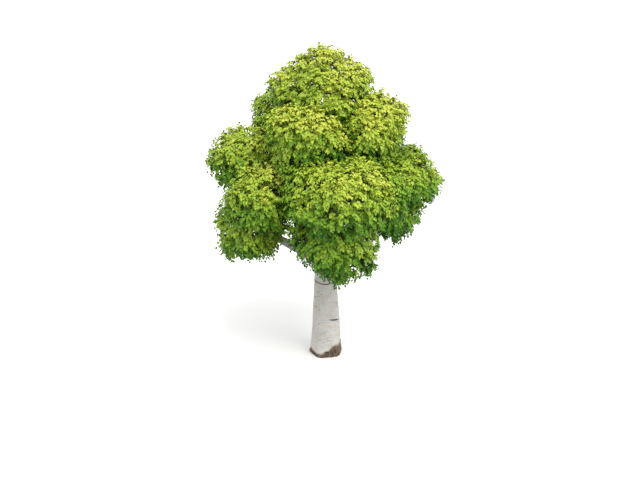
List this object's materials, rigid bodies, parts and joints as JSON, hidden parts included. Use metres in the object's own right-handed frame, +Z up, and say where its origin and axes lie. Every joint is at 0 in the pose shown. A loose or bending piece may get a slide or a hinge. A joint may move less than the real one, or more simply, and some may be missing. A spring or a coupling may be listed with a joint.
{
  "type": "birch tree",
  "caption": "Whole rooted birch in full leaf: stout white tapering trunk, spreading boughs and a crown of rounded leaf masses.",
  "frame": {"origin": "middle of the flat cut under the trunk, at ground level", "axes": "+Z up along the trunk, -Y towards the front of the tree, +X to its right"},
  "size_m": [5.1439, 4.8826, 6.9822],
  "materials": {
    "trunk_bark": "papery white birch bark with dark lenticels",
    "bough_bark": "smooth grey-white young bark",
    "sunlit_leaves": "matt yellow-green leaves",
    "shaded_leaves": "matt mid-green leaves"
  },
  "bodies": {
    "root": {"trunk": "trunk_bark", "bough_left_low": "bough_bark", "bough_front": "bough_bark", "bough_right": "bough_bark", "bough_front_right": "bough_bark", "bough_left_high": "bough_bark", "bough_back": "bough_bark", "bough_back_left_low": "bough_bark", "bough_back_right_low": "bough_bark", "bough_shoulder_left": "bough_bark", "bough_shoulder_right": "bough_bark", "bough_back_left_high": "bough_bark", "bough_back_right_high": "bough_bark", "crown_front": "sunlit_leaves", "crown_left_low": "sunlit_leaves", "crown_right": "shaded_leaves", "crown_top": "sunlit_leaves", "crown_shoulder_left": "sunlit_leaves", "crown_shoulder_right": "sunlit_leaves", "crown_front_right": "shaded_leaves", "crown_left_high": "sunlit_leaves", "crown_back_left_high": "shaded_leaves", "crown_back_right_high": "shaded_leaves", "crown_back": "shaded_leaves", "crown_back_left_low": "shaded_leaves", "crown_back_right_low": "shaded_leaves"}
  },
  "joints": []
}
